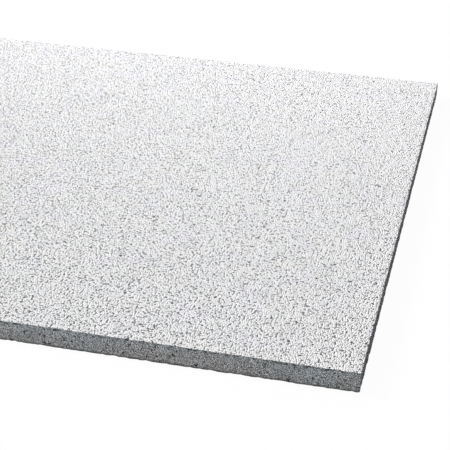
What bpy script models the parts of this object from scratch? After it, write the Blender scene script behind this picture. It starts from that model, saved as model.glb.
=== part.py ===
"""A square-edge tile for a suspended ceiling, lying on its back with its visible face up.

The tile is one felted board of mineral fibre. Its face is painted white over a sanded, pitted surface,
and its edges are plain saw cuts. It drops into a square of the ceiling's T-bars from above, and the
rim of its face rests on their flanges.

Units are metres and +Z is up. The origin is at the middle of the back, where the board lies down.
"""

import math
import random

import bmesh
import bpy
from mathutils import Matrix, Vector

# The ceiling grid that the tile is made for
MODULE_WIDTH = 0.600  # from bar centre to bar centre, along X
MODULE_LENGTH = 0.600  # from bar centre to bar centre, along Y
LAY_IN_PLAY = 0.005  # how much smaller the tile is than its module, so that it drops in

# The board
BOARD_THICKNESS = 0.015
FACE_ARRIS = 0.0004  # the face is painted before the saw cut, so its edge stays crisp
BACK_ARRIS = 0.0004
CORNER_ARRIS = 0.0006  # the upright edges at the four corners
ARRIS_STEPS = 2
PAINTED_LEAN = 0.1  # faces that look up at least this much caught paint

# The pits that the felting leaves in the face
PITS_PER_SQUARE_METRE = 1950
PIT_WIDTHS = (0.0012, 0.0030)  # narrowest and widest mouth
PIT_DEPTHS = (0.0008, 0.0022)
PIT_STRETCH = 1.8  # the longest mouths are this many times as long as they are wide
PIT_SMALLNESS = 2  # the power that makes small pits commoner than large ones
PIT_SIDES = 6
PIT_TO_PIT = 0.004  # least material between two mouths
PIT_TO_EDGE = 0.003  # least material between a mouth and a cut edge

# The grains that the saw tears out of the board's edges
FACE_CHIP_PITCH = 0.040  # about one chip in each such stretch
BACK_CHIP_PITCH = 0.060
CHIP_RADII = (0.0009, 0.0018)
CHIP_BITES = (0.0003, 0.0009)  # how far a chip reaches into the board
CHIP_STRAY = 0.3  # how far a chip lies from the middle of its stretch, as a share of the pitch

CUTTER_LIFT = 0.001  # how far a cutter stands out of the face that it cuts
THROWS_PER_PIT = 20
SEED = 21

tile_width = MODULE_WIDTH - LAY_IN_PLAY
tile_length = MODULE_LENGTH - LAY_IN_PLAY


def clear_scene():
    for old in list(bpy.data.objects):
        bpy.data.objects.remove(old, do_unlink=True)


def new_collection(name):
    collection = bpy.data.collections.new(name)
    bpy.context.scene.collection.children.link(collection)
    return collection


def new_object(name, bm, collection):
    mesh = bpy.data.meshes.new(name)
    bm.to_mesh(mesh)
    bm.free()
    made = bpy.data.objects.new(name, mesh)
    collection.objects.link(made)
    return made


def plain_material(name, colour, roughness):
    material = bpy.data.materials.new(name)
    material.use_nodes = True
    shader = material.node_tree.nodes["Principled BSDF"]
    shader.inputs["Base Color"].default_value = (*colour, 1)
    shader.inputs["Roughness"].default_value = roughness
    shader.inputs["Metallic"].default_value = 0
    return material


def edges_where(bm, test):
    return [edge for edge in bm.edges if test(*(vertex.co for vertex in edge.verts))]


def board_mesh():
    """The sawn board with its edges eased. Material 0 is the painted face, 1 the bare fibre."""
    bm = bmesh.new()
    bmesh.ops.create_cube(bm, size=1)
    bmesh.ops.translate(bm, verts=bm.verts, vec=(0, 0, 0.5))
    bmesh.ops.scale(bm, verts=bm.verts, vec=(tile_width, tile_length, BOARD_THICKNESS))
    middle = BOARD_THICKNESS / 2
    upright = edges_where(bm, lambda a, b: (a.z - middle) * (b.z - middle) < 0)
    bmesh.ops.bevel(bm, geom=upright, offset=CORNER_ARRIS, segments=ARRIS_STEPS, profile=0.5, affect="EDGES")
    face_rim = edges_where(bm, lambda a, b: min(a.z, b.z) > middle)
    bmesh.ops.bevel(bm, geom=face_rim, offset=FACE_ARRIS, segments=ARRIS_STEPS, profile=0.5, affect="EDGES")
    back_rim = edges_where(bm, lambda a, b: max(a.z, b.z) < BACK_ARRIS)
    bmesh.ops.bevel(bm, geom=back_rim, offset=BACK_ARRIS, segments=1, profile=0.5, affect="EDGES")
    for face in bm.faces:
        face.material_index = 0 if face.normal.z > PAINTED_LEAN else 1
    return bm


def pit_places(draw):
    """Points thrown at the face like grit. One that would land too close to another is thrown again."""
    longest = PIT_STRETCH * PIT_WIDTHS[1]
    reach_x = tile_width / 2 - PIT_TO_EDGE - longest / 2
    reach_y = tile_length / 2 - PIT_TO_EDGE - longest / 2
    wanted = round(PITS_PER_SQUARE_METRE * tile_width * tile_length)
    places = []
    for throw in range(THROWS_PER_PIT * wanted):
        place = Vector((draw.uniform(-reach_x, reach_x), draw.uniform(-reach_y, reach_y)))
        if all((place - other).length > PIT_TO_PIT + longest for other in places):
            places.append(place)
        if len(places) == wanted:
            break
    return places


def add_pit(bm, centre, draw):
    """A hole that tapers to a point, turned at random and longer than it is wide. Most are small."""
    size = draw.random() ** PIT_SMALLNESS
    mouth = PIT_WIDTHS[0] + size * (PIT_WIDTHS[1] - PIT_WIDTHS[0])
    depth = PIT_DEPTHS[0] + size * (PIT_DEPTHS[1] - PIT_DEPTHS[0])
    height = depth + CUTTER_LIFT
    top = mouth * height / depth
    turn = Matrix.Rotation(draw.uniform(0, math.pi), 4, "Z")
    stretch = Matrix.Diagonal((draw.uniform(1, PIT_STRETCH), 1, 1, 1))
    place = Matrix.Translation((*centre, BOARD_THICKNESS + CUTTER_LIFT - height / 2))
    bmesh.ops.create_cone(
        bm,
        cap_ends=True,
        segments=PIT_SIDES,
        radius1=0,
        radius2=top / 2,
        depth=height,
        matrix=place @ turn @ stretch,
    )


def pit_cutters():
    draw = random.Random(SEED)
    bm = bmesh.new()
    for centre in pit_places(draw):
        add_pit(bm, centre, draw)
    return bm


def add_chip(bm, on_edge, diagonal, draw):
    """A rough ball that bites into a rim from outside, along the diagonal."""
    radius = draw.uniform(*CHIP_RADII)
    bite = draw.uniform(*CHIP_BITES)
    centre = on_edge + diagonal * (radius - bite)
    turn = Matrix.Rotation(draw.uniform(0, math.pi), 4, diagonal)
    bmesh.ops.create_icosphere(
        bm, subdivisions=1, radius=radius, matrix=Matrix.Translation(centre) @ turn
    )


def add_rim_chips(bm, facing, height, pitch, draw):
    """Chips along the four edges of one rim, clear of the corners. The rim's face looks along facing."""
    sides = (
        (Vector((1, 0, 0)), tile_width, tile_length),
        (Vector((0, 1, 0)), tile_length, tile_width),
        (Vector((-1, 0, 0)), tile_width, tile_length),
        (Vector((0, -1, 0)), tile_length, tile_width),
    )
    for outward, across, run in sides:
        forward = outward.cross(facing)
        count = max(1, round(run / pitch))
        for index in range(count):
            stretch = index + 0.5 + draw.uniform(-CHIP_STRAY, CHIP_STRAY)
            along = stretch * run / count - run / 2
            on_edge = outward * across / 2 + forward * along + Vector((0, 0, height))
            add_chip(bm, on_edge, (outward + facing).normalized(), draw)


def chip_cutters():
    draw = random.Random(SEED + 1)
    bm = bmesh.new()
    add_rim_chips(bm, Vector((0, 0, 1)), BOARD_THICKNESS, FACE_CHIP_PITCH, draw)
    add_rim_chips(bm, Vector((0, 0, -1)), 0, BACK_CHIP_PITCH, draw)
    return bm


def cut(board, cutter):
    """The exact solver loses the whole board to this many small cutters, so the manifold one is used."""
    cutter.hide_render = True
    cutter.display_type = "WIRE"
    difference = board.modifiers.new(cutter.name, "BOOLEAN")
    difference.operation = "DIFFERENCE"
    difference.solver = "MANIFOLD"
    difference.object = cutter


def main():
    clear_scene()
    parts = new_collection("suspended_ceiling_tile")
    cutters = new_collection("cutters")
    tile = new_object("ceiling_tile", board_mesh(), parts)
    tile.data.materials.append(plain_material("painted_face", (0.78, 0.78, 0.79), 0.9))
    tile.data.materials.append(plain_material("bare_fibre", (0.20, 0.21, 0.22), 0.95))
    cut(tile, new_object("face_pits", pit_cutters(), cutters))
    cut(tile, new_object("edge_chips", chip_cutters(), cutters))


main()
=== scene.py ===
# %% [markdown]
# A tile for a suspended ceiling, built for its looks.
# The real thing is one board of felted mineral fibre, light for its size and soft enough to mark with
# a fingernail. Its face is rolled with white paint over a sandy, pitted surface, and its edges are bare
# saw cuts.
# The frame gives the true board, pits and chips included. This lesson puts a fine, rough skin on that
# board, paints it, and lights it as for a catalogue picture.

# %% Load the frame
import math

import bmesh
import bpy
import numpy as np
from mathutils import Matrix, Vector


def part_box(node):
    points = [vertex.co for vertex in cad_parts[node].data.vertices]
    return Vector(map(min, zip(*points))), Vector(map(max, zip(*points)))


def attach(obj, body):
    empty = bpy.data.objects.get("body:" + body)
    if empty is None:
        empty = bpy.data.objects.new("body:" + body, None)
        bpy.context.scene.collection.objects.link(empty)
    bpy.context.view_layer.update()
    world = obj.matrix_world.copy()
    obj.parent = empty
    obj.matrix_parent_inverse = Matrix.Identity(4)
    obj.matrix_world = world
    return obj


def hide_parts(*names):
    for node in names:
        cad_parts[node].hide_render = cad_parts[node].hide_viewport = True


MM_PER_METRE = 1000
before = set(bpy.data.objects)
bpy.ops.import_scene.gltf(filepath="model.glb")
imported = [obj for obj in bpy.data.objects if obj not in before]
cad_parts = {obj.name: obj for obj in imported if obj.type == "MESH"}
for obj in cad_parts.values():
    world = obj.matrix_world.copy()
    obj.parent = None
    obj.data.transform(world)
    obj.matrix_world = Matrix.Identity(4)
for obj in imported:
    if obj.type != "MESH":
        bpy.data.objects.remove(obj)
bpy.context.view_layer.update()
board_low, board_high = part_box("ceiling_tile")
tile_width, tile_length, tile_thickness = board_high - board_low
print(f"board {tile_width:.4f} x {tile_length:.4f} x {tile_thickness:.4f} m")

# %% [markdown]
# The face of the board is never flat. Felting leaves clumps a few millimetres wide, and the sander
# and the sand in the paint add grains on top.
# A bump map alone would leave the outline ruler-straight, and a displaced mesh alone can't hold grains
# of a millimetre on a face this wide. So the clumps go into a dense mesh and the grains into bump.
# The mesh starts as a grid for the face. Its rim is then pulled down ring by ring: round the eased but
# crisp edge of the face, down the four sawn edges, and in under the back.

# %% Rings from the face to the back
FACE_CELLS = 262
UNIT_GRID = 0.5  # a grid is sized by half of its width, so this one is a metre wide
FACE_ARRIS = 0.0004
ARRIS_ANGLES = (45, 90)  # degrees round the eased edge, from the face to the saw cut
BACK_ARRIS = 0.0004
EDGE_ROWS = 6
BACK_BORDER = 0.004
SKIN = 0.00002  # keeps the rough board clear of the frame's own surface
half_width = tile_width / 2
half_length = tile_length / 2


def edge_rings():
    """Inset and height of each ring, from just under the face to the back."""
    for angle in map(math.radians, ARRIS_ANGLES):
        yield FACE_ARRIS * (1 - math.sin(angle)), tile_thickness - FACE_ARRIS * (1 - math.cos(angle))
    flat = tile_thickness - FACE_ARRIS - BACK_ARRIS
    for row in range(1, EDGE_ROWS + 1):
        yield 0, tile_thickness - FACE_ARRIS - flat * row / EDGE_ROWS
    yield BACK_ARRIS, 0
    yield BACK_BORDER, SKIN


def smooth_board():
    """A closed board with a dense face, before any roughness."""
    bm = bmesh.new()
    bmesh.ops.create_grid(bm, x_segments=FACE_CELLS, y_segments=FACE_CELLS, size=UNIT_GRID)
    face_size = (tile_width - 2 * FACE_ARRIS, tile_length - 2 * FACE_ARRIS, 1)
    bmesh.ops.scale(bm, verts=bm.verts, vec=face_size)
    bmesh.ops.translate(bm, verts=bm.verts, vec=(0, 0, tile_thickness))
    rim = [edge for edge in bm.edges if edge.is_boundary]
    inset = FACE_ARRIS
    for next_inset, height in edge_rings():
        pulled = bmesh.ops.extrude_edge_only(bm, edges=rim)["geom"]
        rim = [part for part in pulled if isinstance(part, bmesh.types.BMEdge)]
        for corner in (part for part in pulled if isinstance(part, bmesh.types.BMVert)):
            corner.co.x *= (half_width - next_inset) / (half_width - inset)
            corner.co.y *= (half_length - next_inset) / (half_length - inset)
            corner.co.z = height
        inset = next_inset
    bmesh.ops.edgeloop_fill(bm, edges=rim)
    bmesh.ops.recalc_face_normals(bm, faces=bm.faces)
    return bm


board = smooth_board()
print(f"smooth board: {len(board.verts)} corners")

# %% [markdown]
# Roughness is a push against the surface's own direction, so one rule serves the face, the edges and
# the eased rims between them. Every corner of the mesh gets its own small random depth, and a second,
# wider wave comes from the same kind of numbers averaged with their neighbours.
# The back's rim is pushed deeper, because the saw came out there and tore the fibre. The face's rim is
# not: the paint held it together.
# All pushes go inwards, so the board never grows out of its true size.

# %% Roughen the board
SEED = 7
GRAIN_DEPTH = 0.00012
CLUMP_DEPTH = 0.00018
CLUMP_ROUNDS = 3
RIM_DEPTH = 0.0006
RIM_WIDTH = 0.001
SAME_PLACE = 1e-6  # heights and corners that lie closer than this are one


def neighbour_average(values, edges, rounds):
    """Averages each corner's value with its neighbours', as many times as asked."""
    for _ in range(rounds):
        total = values.copy()
        count = np.ones(len(values))
        for near, far in ((0, 1), (1, 0)):
            np.add.at(total, edges[:, near], values[edges[:, far]])
            np.add.at(count, edges[:, near], 1)
        values = total / count
    return values


def on_back_rim(place):
    """True close to the back's rim."""
    inset = min(half_width - abs(place.x), half_length - abs(place.y))
    return inset < RIM_WIDTH and place.z < RIM_WIDTH


def roughen(bm):
    """Pushes each corner in by a random depth, and leaves the middle of the back flat."""
    random_draw = np.random.default_rng(SEED)
    bm.verts.index_update()
    edges = np.array([[corner.index for corner in edge.verts] for edge in bm.edges])
    grain = random_draw.random(len(bm.verts))
    clumps = neighbour_average(random_draw.random(len(bm.verts)), edges, CLUMP_ROUNDS)
    clumps = (clumps - clumps.min()) / (clumps.max() - clumps.min())
    rim = np.array([on_back_rim(corner.co) for corner in bm.verts])
    flat = np.array([abs(corner.co.z - SKIN) < SAME_PLACE for corner in bm.verts])
    depth = SKIN + GRAIN_DEPTH * grain + CLUMP_DEPTH * clumps + RIM_DEPTH * rim * grain**2
    depth[flat] = 0
    normals = [corner.normal.copy() for corner in bm.verts]
    for corner, normal, push in zip(bm.verts, normals, depth):
        corner.co -= normal * push
    return depth


depths = roughen(board)
print(f"roughness from {depths.min() * MM_PER_METRE:.2f} to {depths.max() * MM_PER_METRE:.2f} mm")

# %% [markdown]
# The deep pits and the chips along the rim are already in the frame's own solid, each in its place.
# They could be measured and made again, but it is simpler to let that solid carve them: what the rough
# board and the true board have in common is the rough board with every pit and chip cut out of it.
# The Boolean also hands over the carver's material, so the inside of a pit can have a finish of its own.

# %% The true board as a carver


def mesh_object(name, bm, materials):
    """Turns a finished bmesh into an object of the scene."""
    mesh = bpy.data.meshes.new(name)
    bm.to_mesh(mesh)
    bm.free()
    for material in materials:
        mesh.materials.append(material)
    made = bpy.data.objects.new(name, mesh)
    bpy.context.scene.collection.objects.link(made)
    return made


def true_board(material):
    """A copy of the frame's solid with its corners joined up again."""
    bm = bmesh.new()
    bm.from_mesh(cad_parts["ceiling_tile"].data)
    bmesh.ops.remove_doubles(bm, verts=bm.verts, dist=SAME_PLACE)
    return mesh_object("true_board", bm, [material])


shaded_pit_finish = bpy.data.materials.new("shaded_pit_wall")
carver = true_board(shaded_pit_finish)
print(f"carver: {len(carver.data.polygons)} faces")

# %% Carve the pits and chips
SHARP_ANGLE = 50  # degrees; a flatter fold between two faces is shaded smooth
board_finish = bpy.data.materials.new("painted_fibre")
tile = mesh_object("felted_board", board, [board_finish])
carving = tile.modifiers.new("carving", "BOOLEAN")
carving.operation = "INTERSECT"
carving.solver = "MANIFOLD"
carving.material_mode = "TRANSFER"
carving.object = carver
carved = bpy.data.meshes.new_from_object(tile.evaluated_get(bpy.context.evaluated_depsgraph_get()))
tile.modifiers.clear()
tile.data = carved
carved.shade_smooth()
carved.set_sharp_from_angle(angle=math.radians(SHARP_ANGLE))
bpy.data.objects.remove(carver, do_unlink=True)
carved.calc_loop_triangles()
print(f"carved board: {len(carved.loop_triangles)} triangles")

# %% [markdown]
# A finish is a picture made of numbers: how high each grain stands, how much paint it caught, how dark
# the gap beside it is. Those numbers are easier to read as sums than as boxes and wires.
# So one small class stands for a wire. Adding or multiplying wires adds the Math nodes that do it.

# %% A wire that can be added and multiplied


class Wire:
    """One output of a node in a material."""

    def __init__(self, tree, socket=None):
        self.tree = tree
        self.socket = socket

    def node(self, kind, settings=None, inputs=None, output=0):
        """Adds a node: its settings first, then the values or wires of its inputs."""
        made = self.tree.nodes.new(kind)
        for name, value in (settings or {}).items():
            setattr(made, name, value)
        for name, value in (inputs or {}).items():
            socket = self.find(made.inputs, name)
            if isinstance(value, Wire):
                self.tree.links.new(value.socket, socket)
            else:
                socket.default_value = value
        return Wire(self.tree, self.find(made.outputs, output))

    @staticmethod
    def find(sockets, name):
        """A socket by its number, or by its name among those that the node's settings leave in use."""
        if isinstance(name, int):
            return sockets[name]
        return next(socket for socket in sockets if socket.enabled and socket.name == name)

    def beside(self, name):
        """Another output of the same node."""
        return Wire(self.tree, self.find(self.socket.node.outputs, name))

    def math(self, operation, *values):
        """A Math node on the values or wires that are given."""
        return self.node("ShaderNodeMath", {"operation": operation}, dict(enumerate(values)))

    def vector(self, operation, *values, output="Vector"):
        """The same for this wire's place or direction, which a Math node can't hold."""
        inputs = dict(enumerate((self, *values)))
        return self.node("ShaderNodeVectorMath", {"operation": operation}, inputs, output)

    def axis(self, name):
        """One number out of a place or a colour."""
        return self.node("ShaderNodeSeparateXYZ", inputs={0: self}, output=name)

    def __add__(self, other):
        return self.math("ADD", self, other)

    __radd__ = __add__

    def __sub__(self, other):
        return self.math("SUBTRACT", self, other)

    def __rsub__(self, other):
        return self.math("SUBTRACT", other, self)

    def __mul__(self, other):
        return self.math("MULTIPLY", self, other)

    __rmul__ = __mul__

    def between(self, low, high):
        """0 below low, 1 above high, and an easy slope from one to the other."""
        ranges = {"Value": self, "From Min": low, "From Max": high}
        return self.node("ShaderNodeMapRange", {"interpolation_type": "SMOOTHSTEP"}, ranges)

    def blend(self, first, second):
        """The first colour where this wire is 0 and the second where it is 1."""
        colours = {"Factor": self, "A": first, "B": second}
        return self.node("ShaderNodeMix", {"data_type": "RGBA"}, colours, "Result")


# %% [markdown]
# Every material here starts as one shader joined to its output. What changes over the surface comes to
# the shader on a wire. What is the same all over is a plain number on the shader's own socket.

# %% Start a material and feed its shader


def rgb(red, green, blue):
    """A colour, with the fourth number that every colour socket asks for."""
    return (red, green, blue, 1)


def start(material):
    """Clears a material down to a shader and its output, and returns both with a bare wire."""
    material.use_nodes = True
    tree = material.node_tree
    tree.nodes.clear()
    shader = tree.nodes.new("ShaderNodeBsdfPrincipled")
    output = tree.nodes.new("ShaderNodeOutputMaterial")
    tree.links.new(shader.outputs["BSDF"], output.inputs["Surface"])
    return shader, output, Wire(tree)


def feed(shader, **inputs):
    """Joins wires to the shader's sockets, or sets their values. A space in a name is written _."""
    for name, value in inputs.items():
        socket = shader.inputs[name.replace("_", " ")]
        if isinstance(value, Wire):
            value.tree.links.new(value.socket, socket)
        else:
            socket.default_value = value


# %% [markdown]
# Both finishes work in millimetres on the board itself, so a grain has the size that its number says.
# The felt left its forming screen along Y, so its grains lie a little longer that way.
# A grain is a cell of a Voronoi pattern. Each cell hands out its middle and a random colour, and
# together they give it one flat top that leans its own way, as a grain of sand under paint does.

# %% Grains in millimetres
MILLIMETRES = (MM_PER_METRE, MM_PER_METRE, MM_PER_METRE)
DENSER_ALONG_X = 1.12  # more grains to the centimetre than the size alone gives
SPARSER_ALONG_Y = 0.90  # fewer, so each is longer
DRAWN_OUT = (DENSER_ALONG_X * MM_PER_METRE, SPARSER_ALONG_Y * MM_PER_METRE, MM_PER_METRE)
ON_THE_FACE = (1, 1, 0)  # keeps a place's X and Y and drops its height
MIDDLE_GREY = (0.5, 0.5, 0.5)


def millimetres(wire, scale=MILLIMETRES):
    """The place of each point of the board."""
    place = wire.node("ShaderNodeTexCoord", output="Object")
    return place.vector("MULTIPLY", scale)


def noise(place, size, detail=1.0, roughness=0.5):
    """Clouds between 0 and 1, mostly near the middle, that are about as wide as the size says."""
    inputs = {"Vector": place, "Scale": 1 / size, "Detail": detail, "Roughness": roughness}
    return place.node("ShaderNodeTexNoise", inputs=inputs, output="Fac")


def cells(place, size, disorder=1.0):
    """0 in the middle of a grain, rising to about 0.8 in the gap to the next."""
    settings = {"feature": "F1", "voronoi_dimensions": "2D"}
    inputs = {"Vector": place, "Scale": 1 / size, "Randomness": disorder}
    return place.node("ShaderNodeTexVoronoi", settings, inputs, "Distance")


def facets(place, grain):
    """Height of the grains in millimetres at a slope of 1, each with one flat, leaning top."""
    from_middle = place.vector("MULTIPLY", ON_THE_FACE).vector("SUBTRACT", grain.beside("Position"))
    lean = grain.beside("Color").vector("SUBTRACT", MIDDLE_GREY)
    return from_middle.vector("DOT_PRODUCT", lean, output="Value")


# %% [markdown]
# The paint lies thick on the grains' tops and misses the gaps between them, where the grey fibre
# shows under a painted shade. The gaps narrow a little towards the far right corner, and the roller
# missed a whole grain here and there.
# Each grain is the sum of its leaning top and a blunt cone, which lets it fall off towards its gap.
# A gap is where the pattern runs far from a grain's middle. Fine grit frays its rim, and where a clump
# stands high the roller filled it.

# %% Relief of the painted face
GRAIN_SIZE = 1.5
GRAIN_DISORDER = 0.85
GRIT_SIZE = 0.75
CLUMP_SIZE = 4.0
CRISP = 0.6  # keeps more of a noise's finer waves than the usual half
FACET_SLOPE = 0.32
CONE_SLOPE = 0.47
GRIT_HEIGHT = 0.025
CLUMP_HEIGHT = 0.05
GAP_WIDTH = (0.78, 0.95)  # painted under the first, and bare over the second
GRIT_IN_GAPS = 0.6
CLUMPS_IN_GAPS = 0.1
# narrows the gaps, and the painted shade in them, towards the far right corner
GAP_NARROWING = 0.0003  # to each millimetre, towards the far right corner
NARROWING_ALONG_Y = 0.6  # as a share of the build-up along X
MISSED_GRAINS = (0.95, 0.97)  # only the few grains that draw a number this high
MISSED_DARKNESS = 0.7


def paint_relief(place):
    """Height of the painted face in millimetres, and a mask for the bare, painted-shade colour in gaps
    and on missed grains.
    """
    grains = cells(place, GRAIN_SIZE, GRAIN_DISORDER)
    grit = noise(place, GRIT_SIZE, detail=2.0, roughness=CRISP)
    clumps = noise(place, CLUMP_SIZE)
    height = facets(place, grains) * FACET_SLOPE - grains * (GRAIN_SIZE * CONE_SLOPE)
    height = height + grit * GRIT_HEIGHT + clumps * CLUMP_HEIGHT
    narrowing = (place.axis("X") + place.axis("Y") * NARROWING_ALONG_Y) * GAP_NARROWING
    gap = grains + (1 - grit) * GRIT_IN_GAPS - clumps * CLUMPS_IN_GAPS - narrowing
    missed = grains.beside("Color").axis("Z").between(*MISSED_GRAINS)
    return height, gap.between(*GAP_WIDTH) + missed * MISSED_DARKNESS


# %% [markdown]
# Air came up through the wet paint and left pinholes, some millimetres apart.
# A second, wider pattern of cells places them. The grains' own pattern could do it, but then every
# pinhole would sit in the middle of a grain.

# %% Pinholes
PINHOLE_PITCH = 7.0
PINHOLE_LEAST = 0.2  # the smallest radius, and then how much larger the largest is
PINHOLE_SPREAD = 0.6
CRISP_EDGE = (-0.1, 0.1)  # millimetres on each side of an edge


def pinholes(place):
    """1 inside of a pinhole: one hole for each wide cell, each of its own size."""
    wide = cells(place, PINHOLE_PITCH)
    radius = wide.beside("Color").axis("Z") * PINHOLE_SPREAD + PINHOLE_LEAST
    return (radius - wide * PINHOLE_PITCH).between(*CRISP_EDGE)


# %% [markdown]
# The board was painted before it was sawn. So the paint stops just over the face's rim, in a line that
# the saw frayed. How far inwards a point lies and how high it is tell together on which side of that
# line it is.
# The way inwards counts only up to a limit. Without one, the middle of the back would lie so far
# inwards that it came out as painted.

# %% Where the paint stops
PAINT_OVER = 0.15  # how far the paint comes down over the rim, here and below in millimetres
PAINT_RAGGED = 1.2
RAGGED_SIZE = 1.5
INWARDS_MOST = 3.0  # less than the board is thick
MIDDLE = 0.5  # what a noise comes to on average
thickness_mm = tile_thickness * MM_PER_METRE


def way_inwards(place):
    """How far a point lies inwards of the nearest sawn edge, in millimetres."""
    from_side = half_width * MM_PER_METRE - place.math("ABSOLUTE", place.axis("X"))
    from_end = half_length * MM_PER_METRE - place.math("ABSOLUTE", place.axis("Y"))
    return place.math("MINIMUM", from_side, from_end)


def above_paint_line(place):
    """0 along the paint's ragged lower line, above 0 on the face and below 0 on the bare fibre."""
    ragged = (noise(place, RAGGED_SIZE) - MIDDLE) * PAINT_RAGGED
    inwards = place.math("MINIMUM", way_inwards(place), INWARDS_MOST)
    return inwards + place.axis("Z") - thickness_mm + PAINT_OVER + ragged


# %% [markdown]
# No white is one white. This coat wanders between a warm, a cool and a slightly green one, in patches
# of a few centimetres. In one flat white the board would look like plastic.
# Where the paint is missing the colour is a dark grey, bare fibre with painted shade over it, and a
# pinhole is nearly black with painted shade.

# %% Colour of the paint
WARM_PAINT = rgb(0.890, 0.882, 0.882)
COOL_PAINT = rgb(0.879, 0.873, 0.908)
GREEN_PAINT = rgb(0.874, 0.885, 0.884)
# the gaps' dark grey: bare fibre with painted shade over it
GAP_SHADE = rgb(0.10, 0.10, 0.105)
# a pinhole's near black: painted shade inside the hole
PINHOLE_SHADE = rgb(0.02, 0.02, 0.02)
HUE_CHANGE = (0.40, 0.60)
GREEN_SHARE = 0.5


def paint_colour(tint, bare, holes):
    """White in three hues, with its bare places and pinholes darkened by painted shade."""
    paint = tint.between(*HUE_CHANGE).blend(WARM_PAINT, COOL_PAINT)
    green = tint.beside("Color").axis("Z").between(*HUE_CHANGE)
    paint = (green * GREEN_SHARE).blend(paint, GREEN_PAINT)
    # gaps and pinholes take their painted shade here
    return holes.blend(bare.blend(paint, GAP_SHADE), PINHOLE_SHADE)


# %% [markdown]
# The saw cut is bare: grey fibre with holes and pale specks of mineral, and a void here and there; the
# holes and voids are painted near black as their shade.
# It is lighter and cooler near the face and darker towards the foot, a painted shade near the floor,
# and its hue wanders with the paint's, as the mix of the felt does.
# Just under the paint the saw tore out small bites, darkened further with painted shade under the
# paint's rim, which make the face's edge look nibbled. Along the foot, where the board lies down, a
# painted contact shadow darkens the torn rim.

# %% Colour of the bare fibre
# the fibre is darker near the back: painted shade towards the floor, along with a warmer hue
WARM_SHADED_FIBRE = rgb(0.263, 0.262, 0.261)
COOL_LIT_FIBRE = rgb(0.268, 0.315, 0.345)
# near black: painted shade in the fibre's holes, voids and bites
FIBRE_HOLE_SHADE = rgb(0.03, 0.03, 0.03)
FIBRE_SPECK = rgb(0.66, 0.66, 0.67)
# painted contact shadow along the foot, where the board lies on the floor
FOOT_SHADOW = rgb(0.06, 0.06, 0.06)
HOLES = (0.42, 0.54)  # a hole where the noise is under the first, and plain fibre over the second
SPECKS = (0.56, 0.64)
LIGHTER_COOLER_UPWARDS = (-0.2, 1.2)  # shares of the thickness, a little past both faces
HUE_SWAY = 3.0
FOOT_HEIGHT = (-0.6, 1.4)  # dark under the first, and plain over the second
FOOT_RAGGED = 2.0
VOID_SIZE = 2.0
VOIDS = (0.66, 0.70)
BITE_SIZE = 3.0
BITE_WIDTH = 1.5
# how much of the near-black painted shade the bites take
BITE_SHADE_DARKNESS = 0.9
BITTEN = (0.54, 0.60)
SOFT_EDGE = (-0.2, 0.2)


def fibre_colour(place, tint, fibres, line):
    """Grey from the back to the face, with specks, and painted shade in holes, voids, bites and at the
    foot.
    """
    near_face = place.axis("Z") * (1 / thickness_mm) + (tint - MIDDLE) * HUE_SWAY
    fibre = near_face.between(*LIGHTER_COOLER_UPWARDS).blend(WARM_SHADED_FIBRE, COOL_LIT_FIBRE)
    fibre = fibres.between(*HOLES).blend(FIBRE_HOLE_SHADE, fibre)
    fibre = fibres.between(*SPECKS).blend(fibre, FIBRE_SPECK)
    foot = place.axis("Z") + way_inwards(place) - fibres * FOOT_RAGGED
    fibre = foot.between(*FOOT_HEIGHT).blend(FOOT_SHADOW, fibre)
    fibre = noise(place, VOID_SIZE).between(*VOIDS).blend(fibre, FIBRE_HOLE_SHADE)
    # bites just under the paint line, darkened with painted shade under the rim
    bites_and_rim_shade = noise(place, BITE_SIZE).between(*BITTEN) * (line + BITE_WIDTH).between(*SOFT_EDGE)
    return (bites_and_rim_shade * BITE_SHADE_DARKNESS).blend(fibre, FIBRE_HOLE_SHADE)


# %% [markdown]
# One material holds both finishes, and the paint line is the mask between them. Two materials on the
# faces of the mesh would be simpler, but their border could only run from corner to corner of a mesh
# that is much coarser than the line.
# The relief is in millimetres too, so the Bump node's distance is one millimetre.

# %% Painted fibre
TINT_SIZE = 22.0
FIBRE_SIZE = 0.44
FIBRE_HEIGHT = 0.8
PINHOLE_DEPTH = 0.4
FIBRE_ROUGHNESS = 0.92
PAINT_ROUGHNESS = 0.84
BOARD_SPECULAR = 0.25


def paint_board(material):
    """White paint above the paint line and bare fibre below it."""
    shader, _, wire = start(material)
    relief, bare = paint_relief(millimetres(wire, DRAWN_OUT))
    place = millimetres(wire)
    holes = pinholes(place)
    tint = noise(place, TINT_SIZE, detail=2.0)
    fibres = noise(place, FIBRE_SIZE, roughness=CRISP)
    line = above_paint_line(place)
    painted = line.between(*CRISP_EDGE)
    fibre = fibre_colour(place, tint, fibres, line)
    paint_height = relief - holes * PINHOLE_DEPTH
    fibre_height = fibres * FIBRE_HEIGHT
    height = fibre_height + painted * (paint_height - fibre_height)
    bump = {"Height": height, "Distance": 1 / MM_PER_METRE, "Strength": 1.0}
    feed(
        shader,
        Base_Color=painted.blend(fibre, paint_colour(tint, bare, holes)),
        Roughness=FIBRE_ROUGHNESS - painted * (FIBRE_ROUGHNESS - PAINT_ROUGHNESS),
        Normal=wire.node("ShaderNodeBump", inputs=bump, output="Normal"),
        Specular_IOR_Level=BOARD_SPECULAR,
    )


paint_board(board_finish)
print("painted_fibre has", len(board_finish.node_tree.nodes), "nodes")

# %% [markdown]
# The walls of a pit or chip came with the carving, so they have a material of their own.
# The roller reaches only a fraction of a millimetre into a pit. Below that the walls are fibre, painted
# darker than on the saw cut as the shade inside a narrow hole.

# %% Inside of the pits
# the walls' dark greys are painted shade inside the pits and chips
DARK_WALL_SHADE = rgb(0.02, 0.02, 0.02)
PALE_WALL_SHADE = rgb(0.12, 0.12, 0.125)
PAINTED_MOUTH = (0.5, 1.1)  # half a millimetre of each is the grit's own share
WALL_ROUGHNESS = 0.95
WALL_SPECULAR = 0.2


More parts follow.
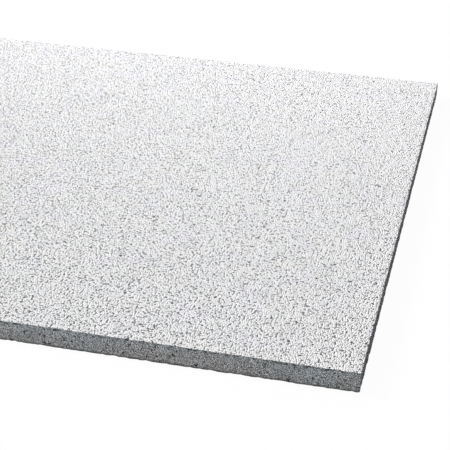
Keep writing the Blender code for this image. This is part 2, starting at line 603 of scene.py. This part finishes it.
def shade_pits(material):
    """Paint in the mouth, in a line that grit frays, and fibre in painted shade below it."""
    shader, _, wire = start(material)
    place = millimetres(wire)
    grit = noise(place, GRIT_SIZE, detail=2.0)
    # the wall's painted shade, varied by grit
    wall_shade = grit.blend(DARK_WALL_SHADE, PALE_WALL_SHADE)
    depth = thickness_mm - place.axis("Z") + grit
    feed(
        shader,
        Base_Color=depth.between(*PAINTED_MOUTH).blend(WARM_PAINT, wall_shade),
        Roughness=WALL_ROUGHNESS,
        Specular_IOR_Level=WALL_SPECULAR,
    )


shade_pits(shaded_pit_finish)
print("shaded_pit_wall has", len(shaded_pit_finish.node_tree.nodes), "nodes")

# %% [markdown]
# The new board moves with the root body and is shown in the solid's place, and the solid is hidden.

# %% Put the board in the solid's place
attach(tile, "root")
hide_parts("ceiling_tile")
print(tile.name, "stands for ceiling_tile")

# %% [markdown]
# The floor is a plain white sheet. To the camera it shines almost white by itself, as the paper behind
# a catalogue picture does, and only a small share of it takes the tile's shadow.
# A mirror or a lens would see the same white, so those rays are let in too.

# %% Floor
FLOOR_SIZE = 12.0
FLOOR_GLOW = 0.97
FLOOR_DROP = 0.0002  # keeps the sheet clear of the board's back
FLOOR_COLOUR = rgb(0.95, 0.95, 0.95)
WHITE = rgb(1, 1, 1)


def seen_directly(wire):
    """1 for a ray from the camera, or off a mirror or through glass, and 0 for the rest."""
    ray = wire.node("ShaderNodeLightPath", output="Is Camera Ray")
    rays = ray + ray.beside("Is Glossy Ray") + ray.beside("Is Transmission Ray")
    return rays.math("MINIMUM", rays, 1)


def make_floor():
    """A sheet that is mostly its own white and a little bit lit."""
    bm = bmesh.new()
    bmesh.ops.create_grid(bm, x_segments=1, y_segments=1, size=FLOOR_SIZE / 2)
    material = bpy.data.materials.new("white_floor")
    shader, output, wire = start(material)
    feed(shader, Base_Color=FLOOR_COLOUR, Roughness=1.0, Specular_IOR_Level=0.0)
    glow = wire.node("ShaderNodeEmission", inputs={"Color": WHITE, "Strength": 1.0})
    lit = Wire(wire.tree, shader.outputs["BSDF"])
    share = seen_directly(wire) * FLOOR_GLOW
    mixed = wire.node("ShaderNodeMixShader", inputs={0: share, 1: lit, 2: glow})
    wire.tree.links.new(mixed.socket, output.inputs["Surface"])
    floor = mesh_object("floor", bm, [material])
    floor.location.z = -FLOOR_DROP


make_floor()
print(f"floor {FLOOR_SIZE:.0f} m wide")

# %% [markdown]
# Rough things need light from the side. The key lamp stands to the left, far enough off to light the
# whole face alike and low enough that each grain has a lit side and a shaded one. That is what makes
# the face read as sand.
# A weaker lamp stands close behind the tile, so that the far part of the face gets more of it than the
# near part. A third one in front, almost at floor level, opens up the sawn edge, and a pale sky all
# round keeps the shade from going black.
# Each lamp's level is how bright it makes a white card that faces it, so the levels can be added up.

# %% Light
SKY_STRENGTH = 0.16
LAMPS = {  # angles in degrees, the heading from the +X axis, and distance and size in metres
    "key_lamp": {"level": 1.14, "elevation": 38, "heading": 174, "distance": 5.5, "size": 1.5},
    "back_lamp": {"level": 0.38, "elevation": 40, "heading": 106, "distance": 1.2, "size": 0.35},
    "edge_lamp": {"level": 0.61, "elevation": 7, "heading": 250, "distance": 5.0, "size": 1.2},
}


def direction(elevation, heading):
    """One metre of the way to a lamp or the camera."""
    up = math.radians(elevation)
    round_about = math.radians(heading)
    return Vector((
        math.cos(round_about) * math.cos(up),
        math.sin(round_about) * math.cos(up),
        math.sin(up),
    ))


def lamp(name, level, elevation, heading, distance, size):
    """A round lamp that faces the tile."""
    light = bpy.data.lights.new(name, "AREA")
    light.shape = "DISK"
    light.size = size
    light.energy = level * (math.pi * distance) ** 2
    made = bpy.data.objects.new(name, light)
    towards = direction(elevation, heading)
    made.location = towards * distance
    made.rotation_euler = towards.to_track_quat("Z", "Y").to_euler()
    bpy.context.scene.collection.objects.link(made)


def light_sky():
    """A pale sky that the camera sees as white."""
    world = bpy.data.worlds.new("sky")
    bpy.context.scene.world = world
    world.use_nodes = True
    wire = Wire(world.node_tree)
    sky = world.node_tree.nodes["Background"]
    sky.inputs["Color"].default_value = WHITE
    strength = seen_directly(wire) * (1 - SKY_STRENGTH) + SKY_STRENGTH
    wire.tree.links.new(strength.socket, sky.inputs["Strength"])


light_sky()
for lamp_name, values in LAMPS.items():
    lamp(lamp_name, **values)
print("lamps:", ", ".join(LAMPS))

# %% [markdown]
# The picture was taken with a long lens, from a little under half a metre up and a step in front of
# the tile's near right corner. The left end of the tile lies outside of it.
# The camera is placed as a photographer would say it: what it looks at, from which side, how far
# above the horizon, how far away, and how much it is tipped.

# %% Camera
AIM_POINT = Vector((0.1653, -0.1067, tile_thickness))
CAMERA_HEADING = -77.91  # from the +X axis as for the lamps, so in front and a little to the right
CAMERA_ELEVATION = 24.80
CAMERA_DISTANCE = 1.0183
CAMERA_TIP = 2.16  # degrees, as the other angles
CAMERA_LENS = 104.94
SENSOR_WIDTH = 36.0


def place_camera():
    """A camera that looks at the aim point, and becomes the scene's own."""
    made = bpy.data.cameras.new("camera")
    made.lens = CAMERA_LENS
    made.sensor_width = SENSOR_WIDTH
    camera = bpy.data.objects.new("camera", made)
    bpy.context.scene.collection.objects.link(camera)
    back = direction(CAMERA_ELEVATION, CAMERA_HEADING)
    turn = back.to_track_quat("Z", "Y").to_matrix().to_4x4()
    tip = Matrix.Rotation(math.radians(CAMERA_TIP), 4, "Z")
    camera.matrix_world = Matrix.Translation(AIM_POINT + back * CAMERA_DISTANCE) @ turn @ tip
    bpy.context.scene.camera = camera


place_camera()
bpy.context.scene.view_settings.view_transform = "Standard"
print(f"camera {CAMERA_DISTANCE:.2f} m from its aim point, with a {CAMERA_LENS:.0f} mm lens")
